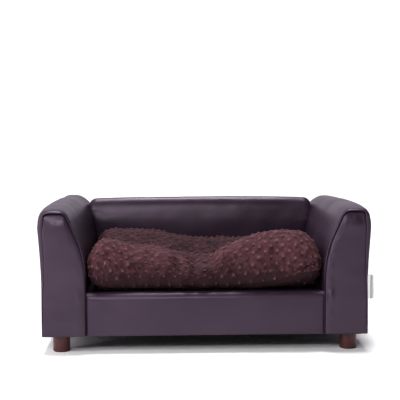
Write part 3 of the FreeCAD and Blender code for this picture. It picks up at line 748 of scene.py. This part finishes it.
def outer_back():
    """The back's outer cover, tacked round its edge between the two arms."""
    node = "back_outer_cover"
    near, far, points, inside, wave = flat_panel(node, 61)
    face = far[1] - 0.9 * MM
    spread = 2.2 + 7.0 * smoothstep((points[..., 2] - 0.185) / 0.05)
    points[..., 0] *= 1 + spread * MM / far[0]
    points[..., 1] = face + (1.0 + 0.6 * wave) * inside * MM
    for edge, beside in ((0, 1), (-1, -2)):
        points[:, beside, 0] = points[:, edge, 0] * (1 - 0.001)
        points[:, beside, 1] = face
        points[:, edge, 1] = far[1] - 9 * MM
    points[0, :, 1], points[1, :, 1] = far[1] - 7 * MM, face
    points[:2, :, 2] = near[2] - 0.9 * MM
    points[1, :, 2] += 0.3 * MM
    stretched_sheet("back_outer_panel_cover", node, points, 1, -0.9 * MM, ["back_outer_panel"])


outer_back()


def deck():
    """The leather deck that the cushion lies on, drawn down flat over its board, in the darker
    leather copy that paints shade on it.
    """
    node = "deck_cover"
    _, far, points, inside, wave = flat_panel(node, 71)
    points[..., 2] = far[2] - 0.7 * MM + (0.6 + 0.35 * wave) * inside * MM
    points[:, (0, -1), 0] *= 1 + 5 * MM / far[0]
    points[:, (0, -1), 2] -= 0.2 * MM
    # The deck takes the darker leather copy, which paints shade on it.
    look = {"finish": "deck_leather_painted_shade"}
    stretched_sheet("deck_lining", node, points, 2, -1.0 * MM, ["deck_panel"], **look)


deck()


def front_rail():
    """The padded front rail: rounded over the top, creased where it meets the arms."""
    near, far = extent("front_rail_cover")
    frame_face = low("base_front_rail")[1]
    flap = low("dust_cover")[1] - 0.2 * MM
    face, back = near[1] + 1.2 * MM, far[1]
    top, bottom = far[2] + 0.6 * MM, near[2]
    bend, foot = 15 * MM, 4 * MM
    over = arc((face + bend, top - bend), bend, 180, 90, 14)
    under = arc((face + foot, bottom + foot), foot, -90, -180, 7)
    upright = resample([under[-1], over[0]], 40)[1:-1]
    shown = np.concatenate([under, upright, over, [[back, top - 0.4 * MM]]])
    roof, sole = far[2] - 2 * MM, bottom + 1 * MM
    hidden = [(back, roof), (frame_face, roof), (frame_face, sole), (flap, sole), (flap, bottom)]
    loop = np.concatenate([shown, hidden])
    half = (far[0] - near[0]) / 2 + 1.2 * MM
    stations = crowded_ends(half, 0.03, 16, 1.5, 150)
    points = np.zeros((len(stations), len(loop), 3))
    points[..., 0] = stations[:, None]
    points[..., 1] = loop[:, 0]
    points[..., 2] = loop[:, 1]
    is_shown = np.arange(len(loop)) < len(shown) - 1
    from_end = half - np.abs(points[..., 0])
    rise = np.clip((points[..., 2] - bottom) / (top - bottom), 0, 1)
    front = smoothstep((face + 0.02 - points[..., 1]) / 0.02) * is_shown
    belly = 1.4 * np.sin(np.pi * np.clip(rise * 1.05, 0, 1)) * smoothstep(from_end / 0.05)
    soft = unevenness(points, 81, (0.7, 0.08), (0.35, 0.03))
    crease = smooth_noise(points * (0.25, 1, 1), 0.012, 83) * np.exp(-from_end / 0.02)
    tuck = 2.4 * np.exp(-from_end / 0.004)
    moved = (belly + soft + 0.9 * crease * smoothstep(from_end / 0.004) - tuck) * front * MM
    on_top = smoothstep((points[..., 2] - top + bend) / bend) * is_shown
    points[..., 1] -= moved * (1 - 0.6 * on_top)
    points[..., 2] += (0.5 * soft - 0.8 * tuck) * on_top * MM * smoothstep(rise)
    piece = make("front_rail_wrap", points, capped_tube(*points.shape[:2]))
    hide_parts("front_rail_cover", "front_rail_foam")


front_rail()

# ---------- cushion

EDGE_RADIUS = 45 * MM
SEAM_RISE = 23.7 * MM
# Outlines across the bed, as (x, z) in millimetres: the top of the cushion's front rim, how far
# its front seam is above SEAM_RISE, and the top behind the rim.
RIDGE = [
    (-240, 205), (-226, 219), (-205, 225), (-185, 221), (-164, 212), (-144, 205), (-113, 201),
    (-92, 199), (-71, 195), (-51, 186), (-30, 177), (-18, 171), (1, 176), (16, 188), (32, 200),
    (49, 211), (65, 220), (84, 227), (105, 234), (126, 240), (146, 244), (163, 246), (178, 246),
    (198, 243), (211, 238), (221, 230), (232, 219), (240, 205),
]
SEAM_LINE = [
    (-240, -12), (-205, -20.5), (40, -21), (71, -19.5), (112, -14), (153, -6), (184, 4),
    (215, 15), (240, 24),
]
SUNKEN_BACK = [
    (-240, 219), (-190, 221), (-130, 217), (-80, 207), (-20, 197), (60, 194), (120, 198),
    (170, 206), (240, 208),
]


def profile_at(table, across):
    table = np.array(table, float) * MM
    return np.interp(across, table[:, 0], table[:, 1])


def cushion_surface(cols, rows, top_panel):
    """A grid over one cushion panel: places in the model, flat cloth places, gap to the seam."""
    near, far = extent("cushion_cover_top")
    near[2] = low("cushion_cover_bottom")[2]
    centre = (near + far) / 2
    core = (far - near)[:2] / 2 - EDGE_RADIUS
    wall = far[2] - near[2] - 2 * EDGE_RADIUS
    quarter = EDGE_RADIUS * math.pi / 2
    lower = math.asin((EDGE_RADIUS - SEAM_RISE) / EDGE_RADIUS) * EDGE_RADIUS
    span = quarter + wall + lower if top_panel else quarter - lower
    reach = core + span
    s = np.linspace(-reach[0], reach[0], cols)[None, :] + np.zeros((rows, 1))
    t = np.linspace(-reach[1], reach[1], rows)[:, None] + np.zeros((1, cols))
    over_s, over_t = np.maximum(np.abs(s) - core[0], 0), np.maximum(np.abs(t) - core[1], 0)
    past = np.maximum(over_s, over_t)  # how far round the edge, from the flat middle
    with np.errstate(divide="ignore", invalid="ignore"):
        ratio = np.nan_to_num(np.where(over_s > over_t, over_t / over_s, over_s / over_t))
    angle = math.pi / 4 * np.where(over_s > over_t, ratio, 2 - ratio)
    out = np.stack([np.cos(angle) * np.sign(s), np.sin(angle) * np.sign(t)], -1)
    inside = np.stack([np.clip(s, -core[0], core[0]), np.clip(t, -core[1], core[1])], -1)
    flat = inside + out * past[..., None]
    around = centre[:2] + inside + out * np.minimum(past, EDGE_RADIUS)[..., None]
    at_front = smoothstep((-0.02 - around[..., 1]) / 0.12)
    rise = SEAM_RISE + profile_at(SEAM_LINE, around[..., 0]) * at_front
    below = np.arcsin(np.clip((EDGE_RADIUS - rise) / EDGE_RADIUS, 0, 1)) * EDGE_RADIUS
    above = np.maximum(rise - EDGE_RADIUS, 0)
    if top_panel:
        ends = quarter + wall + below - above
        stretched = (past - quarter) * (ends - quarter) / (span - quarter)
        along = quarter * 2 + wall - np.where(past < quarter, past, quarter + stretched)
    else:
        along = past * (quarter - below + above) / span
    turn = np.clip(along / EDGE_RADIUS, 0, math.pi / 2)
    upward = np.clip(along - quarter, 0, wall)
    over = np.clip((along - quarter - wall) / EDGE_RADIUS, 0, math.pi / 2)
    radius = EDGE_RADIUS * np.where(over > 0, np.cos(over), np.sin(turn))
    points = np.zeros((rows, cols, 3))
    points[..., :2] = centre[:2] + inside + out * radius[..., None]
    points[..., 2] = near[2] + EDGE_RADIUS * (1 - np.cos(turn) + np.sin(over)) + upward
    return points, flat, span - past


def hollow_share(points):
    """1 in the hollow where a dog lies, 0 outside it."""
    x, y = points[..., 0], points[..., 1]
    return smoothstep(1 - np.abs(y + 0.055) / 0.105) * smoothstep((0.235 - np.abs(x)) / 0.06)


def settle(points):
    """The cushion's slumped shape: a hollow middle, a rim along the front, a stuffed bulge."""
    near, far = low("cushion_cover_bottom"), high("cushion_cover_top")
    base, top = near[2] + 22 * MM, far[2]
    x, y, z = points[..., 0], points[..., 1], points[..., 2]
    front_share = smoothstep((-0.112 - y) / 0.045)
    ridge = profile_at(RIDGE, x)
    behind = profile_at(SUNKEN_BACK, x) - 24 * MM * hollow_share(points)
    height = mix(behind, ridge, front_share)
    share = np.clip((z - base) / (top - base), 0, 1)
    moved = points.copy()
    moved[..., 2] = np.where(z > base, base + share * (height - base), z)
    centre, core = (far + near)[:2] / 2, (far - near)[:2] / 2 - EDGE_RADIUS
    out = np.maximum(np.abs(points[..., :2] - centre) - core, 0)
    round_off = np.hypot(out[..., 0], out[..., 1])
    squarer = (out[..., 0] ** 3.4 + out[..., 1] ** 3.4) ** (1 / 3.4)
    grow = np.where(squarer > 0, round_off / np.maximum(squarer, 1e-9), 1) - 1
    moved[..., :2] += np.sign(points[..., :2] - centre) * out * grow[..., None]
    below_seam = near[2] + SEAM_RISE + profile_at(SEAM_LINE, x) - moved[..., 2]
    tucked = smoothstep((x - 0.03) / 0.12) * smoothstep((-0.1 - y) / 0.06)
    moved[..., 1] += 13 * MM * tucked * smoothstep(below_seam / 0.018)
    return moved


def zip_region(points):
    """1 where the zip's tape lies on the cover, 0 elsewhere."""
    near, far = extent("zip_tape")
    behind = smoothstep((points[..., 1] - near[1] + 0.012) / 0.01)
    along = smoothstep((far[0] + 0.012 - np.abs(points[..., 0])) / 0.01)
    below = smoothstep((far[2] + 0.012 - points[..., 2]) / 0.01)
    return behind * along * below


def surface_normals(points):
    down = np.gradient(points, axis=0)
    across = np.gradient(points, axis=1)
    normals = np.cross(across, down)
    return normals / np.maximum(np.linalg.norm(normals, axis=-1, keepdims=True), 1e-12)


CLOTH_STEPS = 20


def cloth_wrinkles(points, held):
    """Where a real cloth of this cut settles over the stuffing: a short simulation."""
    rows, cols = points.shape[:2]
    mesh = bpy.data.meshes.new("cloth_trial")
    mesh.from_pydata(points.reshape(-1, 3).tolist(), [], grid_faces(rows, cols).tolist())
    trial = bpy.data.objects.new("cloth_trial", mesh)
    scene.collection.objects.link(trial)
    group = trial.vertex_groups.new(name="held")
    weights = np.round(np.clip(held.reshape(-1), 0, 1), 2)
    for level in np.unique(weights[weights > 0]):
        group.add(np.nonzero(weights == level)[0].tolist(), float(level), "REPLACE")
    modifier = trial.modifiers.new("cloth", "CLOTH")
    cloth = modifier.settings
    cloth.quality = 6
    cloth.mass = 0.35
    cloth.tension_stiffness = 18
    cloth.compression_stiffness = 14
    cloth.shear_stiffness = 6
    cloth.bending_stiffness = 1.5
    cloth.tension_damping = 12
    cloth.use_pressure = True
    cloth.uniform_pressure_force = 4
    cloth.shrink_min = -0.07
    cloth.vertex_group_mass = "held"
    cloth.effector_weights.gravity = 0
    modifier.collision_settings.use_collision = False
    cache = modifier.point_cache
    scene.frame_start, scene.frame_end = 1, CLOTH_STEPS
    cache.frame_start, cache.frame_end = 1, CLOTH_STEPS
    for step in range(1, CLOTH_STEPS + 1):
        scene.frame_set(step)
    settled = trial.evaluated_get(bpy.context.evaluated_depsgraph_get())
    places = np.array([v.co for v in settled.data.vertices]).reshape(points.shape)
    scene.frame_set(1)
    bpy.data.objects.remove(trial)
    bpy.data.meshes.remove(mesh)
    return places


CLOTH_CAP = 9 * MM
CLOTH_EASE = 3.5 * MM
DOT_PITCH = 24 * MM
DOT_ROWS = 11.5 * MM
DOT_SIZE = 2.7 * MM
DOT_RISE = 3.0 * MM
DIMPLE_SHIFT = np.array([0.0, -4.6]) * MM


def finer(grid, times):
    """A grid with its rows and columns divided, smoothly."""
    rows, cols = grid.shape[:2]

    def stretched(values, count):
        place = np.arange(count) / times
        cell = np.minimum(place.astype(int), len(values) - 2)
        part = (place - cell)[:, None, None]
        ends = with_ends(values)
        return catmull_rom(*(ends[cell + n] for n in range(4)), part)

    tall = stretched(grid, (rows - 1) * times + 1)
    return stretched(tall.transpose(1, 0, 2), (cols - 1) * times + 1).transpose(1, 0, 2)


def flat_3d(flat):
    return np.concatenate([flat, np.zeros(flat.shape[:-1] + (1,))], -1)


def dots(flat, seed):
    """The embossed dots' height at flat cloth places: staggered rows, slightly uneven."""
    drift = np.stack([smooth_noise(flat_3d(flat), 0.05, seed + n) for n in range(2)], -1)
    place = flat + drift * 2.2 * MM
    nearest = np.full(flat.shape[:-1], 1.0)
    base_row = np.round(place[..., 1] / DOT_ROWS)
    for step in (-1, 0, 1):
        row = base_row + step
        shift = (row % 2) * DOT_PITCH / 2
        column = np.round((place[..., 0] - shift) / DOT_PITCH)
        across = place[..., 0] - shift - column * DOT_PITCH
        nearest = np.minimum(nearest, np.hypot(across, place[..., 1] - row * DOT_ROWS))
    uneven = 0.85 + 0.3 * smooth_noise(flat_3d(flat), 0.02, seed + 3)
    return uneven * np.exp(-((nearest / DOT_SIZE) ** 2.6))


def gathers(points):
    """Folds that fan out from the pinched valley at the cushion's front edge."""
    x, y, z = (points[..., n] + shift for n, shift in enumerate((0.014, 0.17, -0.2)))
    distance = np.sqrt(x**2 + y**2 + z**2)
    angle = np.arctan2(x, np.abs(z) + 0.03 + np.abs(y))
    wave = np.sin(angle * 15 + 1.2 * smooth_noise(points, 0.04, 97))
    return 8.0 * MM * wave * np.exp(-distance / 0.045) * smoothstep(distance / 0.012)


def top_folds(points, shaped, flat, to_seam, keep, seed):
    """The top panel with its crumples, its gathers and the folds of a settled cloth."""
    normal = surface_normals(shaped)
    crumple = unevenness(flat_3d(flat), seed, (3.0, 0.05), (1.8, 0.022))
    shaped += normal * (crumple * keep * smoothstep(to_seam / 0.03))[..., None] * MM
    shaped += normal * (gathers(points) * keep)[..., None]
    step = cloth_wrinkles(shaped, np.maximum(np.exp(-to_seam / 0.006), 1 - keep)) - shaped
    length = np.linalg.norm(step, axis=-1, keepdims=True)
    step *= CLOTH_CAP * np.tanh(length / CLOTH_CAP) / np.maximum(length, 1e-9)
    valley = bell(points[..., 0], -0.018, 0.04) * smoothstep((-0.05 - points[..., 1]) / 0.1)
    free = keep * (1 - 0.6 * hollow_share(points)) * (1 - 0.6 * valley)
    free = free * smoothstep(to_seam / 0.025)
    return shaped + (step - normal * CLOTH_EASE) * free[..., None]


def bottom_folds(points, shaped, flat, to_seam, keep, seed):
    """The bottom panel with soft crumples above its flat sole."""
    crumple = 1.2 * smooth_noise(flat_3d(flat), 0.05, seed)
    above_sole = smoothstep((points[..., 2] - points[..., 2].min()) / 0.01)
    amount = crumple * keep * smoothstep(to_seam / 0.02) * above_sole
    return shaped - surface_normals(shaped) * amount[..., None] * MM


def cushion_panel(name, cols, rows, top_panel, seed):
    """One sewn panel of the cushion, with its cloth folds, embossed dots and seam, and painted
    light and shade for its colour.
    """
    points, flat, to_seam = cushion_surface(cols, rows, top_panel)
    keep = 1 - zip_region(points)
    folds = top_folds if top_panel else bottom_folds
    shaped = folds(points, settle(points), flat, to_seam, keep, seed)
    fine, fine_flat = finer(shaped, 4), finer(flat, 4)
    fine_seam = finer(to_seam[..., None], 4)[..., 0]
    fine_keep = np.clip(finer(keep[..., None], 4)[..., 0], 0, 1)
    normal = surface_normals(fine) * (1 if top_panel else -1)
    dots_and_painted_light = dots(fine_flat, seed + 5)
    dimple = dots(fine_flat - DIMPLE_SHIFT, seed + 5)
    clear = smoothstep(fine_seam / 0.006)
    groove = -2.0 * np.exp(-fine_seam / 0.0035) - 2.2 * np.exp(-fine_seam / 0.0008)
    pucker = 0.9 * smooth_noise(flat_3d(fine_flat), 0.007, seed + 8) * np.exp(-fine_seam / 0.012)
    groove += (pucker + 0.8 * bell(fine_seam, 0.009, 0.006)) * clear
    nap = unevenness(fine, seed + 9, (0.35, 0.0065), (0.5, 0.013)) * clear
    height = ((dots_and_painted_light * DOT_RISE / MM - 0.7 * dimple) * clear + nap + groove) * fine_keep
    fine = fine + normal * height[..., None] * MM
    faces = grid_faces(*fine.shape[:2])
    if not top_panel:
        faces = faces[:, ::-1]
    piece = make(name, fine, faces, "plush", "cushion", weld=False)
    y, z = fine[..., 1], fine[..., 2]
    # Painted light for the colour: painted highlights on the dots and painted shade just below
    # each dot.
    shade = (0.85 * dots_and_painted_light - 0.5 * dimple) * clear + 0.2 * nap
    # Painted shade: the top panel darker towards its bottom, and the bottom panel darker all
    # over; the dots stay partly lighter in it.
    under = 1.8 * np.exp(-(z - z.min()) / 0.030) if top_panel else 1.4
    shade -= under * (1 - 0.5 * dots_and_painted_light)
    # Painted shade on the top behind the front rim.
    shade -= 0.35 * smoothstep((y + 0.135) / 0.05) * smoothstep((z - 0.17) / 0.02)
    painted_light_layer = piece.data.attributes.new("dots_and_painted_light", "FLOAT", "POINT")
    painted_light_layer.data.foreach_set("value", shade.reshape(-1).astype(np.float32))
    return piece


top_panel = cushion_panel("cushion_top_panel", 89, 69, True, 101)
bottom_panel = cushion_panel("cushion_bottom_panel", 61, 45, False, 131)
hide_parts("cushion_cover_top", "cushion_fill")
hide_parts("cushion_cover_bottom")

# ---------- underside and zip


def dust_cover():
    """The non-woven cover under the base, stapled round its edge and sagging a little."""
    node = "dust_cover"
    near, far, points, inside, wave = flat_panel(node, 91)
    half = (far - near) / 2
    middle = (far + near) / 2
    across = 1 - ((points[..., 0] - middle[0]) / half[0]) ** 2
    along = 1 - ((points[..., 1] - middle[1]) / half[1]) ** 2
    sag = 2.2 * across * along + 0.5 * np.abs(wave) * inside
    points[..., 2] = near[2] + 0.25 * MM - sag * MM
    rests_on = ["base_front_rail", "base_rear_rail"]
    stretched_sheet("dust_lining", node, points, 2, 0.35 * MM, rests_on, "black_lining")


dust_cover()


def tooth_points(place, along, out, across, size):
    """The eight corners of one small zip tooth, narrower at its tip."""
    corners = []
    for a in (-1, 1):
        for b in (0, 1):
            for c in (-1, 1):
                reach = along * a * size[0] * (1 - 0.2 * b) + out * b * size[1]
                corners.append(place + reach + across * c * size[2] * (1 - 0.45 * b))
    return corners


def zip_coil():
    """The zip's nylon coil: two rows of teeth that mesh along the middle of the tape."""
    near, far = extent("zip_teeth")
    tilt = math.radians(40)
    out = np.array([0, math.cos(tilt), -math.sin(tilt)])
    across = np.array([0, math.sin(tilt), math.cos(tilt)])
    along = np.array([1.0, 0, 0])
    centre = (near + far) / 2
    pitch = 1.9 * MM
    corners, faces = [], []
    box = [(0, 1, 3, 2), (4, 6, 7, 5), (0, 4, 5, 1), (2, 3, 7, 6), (0, 2, 6, 4), (1, 5, 7, 3)]
    for number in range(int((far[0] - near[0]) / pitch)):
        row = 1 if number % 2 else -1
        place = np.array([near[0] + (number + 0.5) * pitch, centre[1], centre[2]])
        place = place - out * 0.75 * MM + across * row * 0.9 * MM
        shift = len(corners)
        corners += tooth_points(place, along, out, across, (0.72 * MM, 1.5 * MM, 1.35 * MM))
        faces += [[shift + n for n in face] for face in box]
    coil = make("zip_coil", corners, faces, "zip_nylon", "cushion", weld=False)
    coil.data.shade_flat()
    soften = coil.modifiers.new("soften", "BEVEL")
    soften.width = 0.25 * MM
    soften.segments = 1
    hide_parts("zip_teeth")


zip_coil()

# ---------- side label


def side_label():
    """A blank woven label: one ribbon folded in half, its ends caught under the arm's edge."""
    near, far = extent("side_label")
    near[2] -= 6 * MM
    far[0] -= 3.6 * MM
    tall = far[2] - near[2] - 4 * MM
    root, wide = near[0] - 6.5 * MM, far[0] - near[0] + 6.5 * MM
    middle, gap, pinch = (near[1] + far[1]) / 2, 0.9 * MM, 0.25 * MM
    fold = arc((far[0] - gap, middle), gap, -90, 90, 9)
    path = [(root, middle - pinch), (root + 5 * MM, middle - gap), *fold]
    path += [(root + 5 * MM, middle + gap), (root, middle + pinch)]
    line = resample(path, 120)
    v = np.linspace(0, 1, 40)[:, None]
    points = np.zeros((len(v), len(line), 3))
    points[..., 0] = line[:, 0]
    points[..., 1] = line[:, 1]
    points[..., 2] = near[2] + v * tall
    out = (points[..., 0] - root) / wide
    points[..., 1] += out**2 * (1.6 * np.sin(2.4 * v + 0.4) - 1.0) * MM
    points[..., 2] += out * 0.8 * MM * np.sin(3 * v)
    label = make("blank_label", points, grid_faces(*points.shape[:2]), "label_fabric")
    label.data.materials.append(FINISHES["label_thread"])
    for face in label.data.polygons:
        share = (face.center.x - root) / wide
        face.material_index = int(0.56 < share < 0.72 or 0.82 < share < 0.88)
    thick = label.modifiers.new("thickness", "SOLIDIFY")
    thick.thickness = 0.35 * MM
    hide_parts("side_label")


side_label()

# ---------- floor, light and camera

FLOOR_HALF = 40
mesh = bpy.data.meshes.new("floor")
corners = [(FLOOR_HALF * x, FLOOR_HALF * y, 0) for x, y in ((-1, -1), (1, -1), (1, 1), (-1, 1))]
mesh.from_pydata(corners, [], [(0, 1, 2, 3)])
mesh.materials.append(new_material("studio_white", studio_white))
floor = bpy.data.objects.new("floor", mesh)
scene.collection.objects.link(floor)

WORLD_FRONT = 0.04
WORLD_BEHIND = 0.70


def studio_world():
    """A white studio: bright sweep behind and above, darker towards the camera's side."""
    scene.world = bpy.data.worlds.new("studio")
    scene.world.use_nodes = True
    tree = scene.world.node_tree
    seen = plug(tree, tree.nodes["Background"], {"Color": (1, 1, 1, 1), "Strength": 1.05})
    place = add(tree, "TexCoord", {}).outputs["Generated"]
    parts = add(tree, "SeparateXYZ", {"Vector": place}).outputs
    side = calculate(tree, "MULTIPLY_ADD", parts["X"], -0.6, parts["Y"])
    sweep = {"Value": side, "From Min": -0.3, "From Max": 0.8}
    behind = add(tree, "MapRange", {**sweep, "To Min": WORLD_FRONT, "To Max": WORLD_BEHIND})
    glow = {"Color": (0.95, 0.89, 1.0, 1), "Strength": behind.outputs["Result"]}
    lit = add(tree, "Background", glow)
    camera_ray = add(tree, "LightPath", {}).outputs["Is Camera Ray"]
    both = {"Fac": camera_ray, 1: lit.outputs["Background"], 2: seen.outputs["Background"]}
    choose = add(tree, "MixShader", both)
    plug(tree, tree.nodes["World Output"], {"Surface": choose.outputs["Shader"]})


studio_world()
scene.view_settings.view_transform = "Standard"
scene.view_settings.look = "Medium High Contrast"


def aimed(lamp, place, target):
    lamp.location = place
    lamp.rotation_euler = (Vector(target) - Vector(place)).to_track_quat("-Z", "Y").to_euler()
    scene.collection.objects.link(lamp)


def softbox(name, place, target, size, power):
    light = bpy.data.lights.new(name, "AREA")
    light.shape = "RECTANGLE"
    light.size, light.size_y = size
    light.energy = power
    aimed(bpy.data.objects.new(name, light), place, target)
overhead = bpy.data.lights.new("overhead", "SUN")
overhead.energy = 2.5
overhead.angle = math.radians(14)
aimed(bpy.data.objects.new("overhead", overhead), (-0.05, 0.22, 2.4), (0, 0, 0))
softbox("key", (-0.9, -1.05, 1.05), (0.1, -0.15, 0.25), (0.3, 0.3), 7.0)
softbox("left", (-1.4, -0.9, 0.5), (0.3, -0.2, 0.2), (0.12, 0.5), 6)
softbox("front", (-0.4, -2.3, 1.3), (0, 0, 0.2), (0.6, 0.4), 18.5)

FOCAL_PX = 1088
FRAME_PX = 400
SENSOR = 36
CAMERA_PLACE = (-0.066, cad_box[0].y - 2.185, 0.505)
PITCH, YAW, ROLL = (math.radians(angle) for angle in (5.0, 1.47, -0.35))
camera_data = bpy.data.cameras.new("camera")
camera_data.sensor_width = SENSOR
camera_data.lens = FOCAL_PX / FRAME_PX * SENSOR
camera = bpy.data.objects.new("camera", camera_data)
turned = Matrix.Rotation(-YAW, 4, "Z") @ Matrix.Rotation(math.pi / 2 - PITCH, 4, "X")
rolled = Matrix.Rotation(ROLL, 4, "Z")
camera.matrix_world = Matrix.Translation(CAMERA_PLACE) @ turned @ rolled
scene.collection.objects.link(camera)
scene.camera = camera
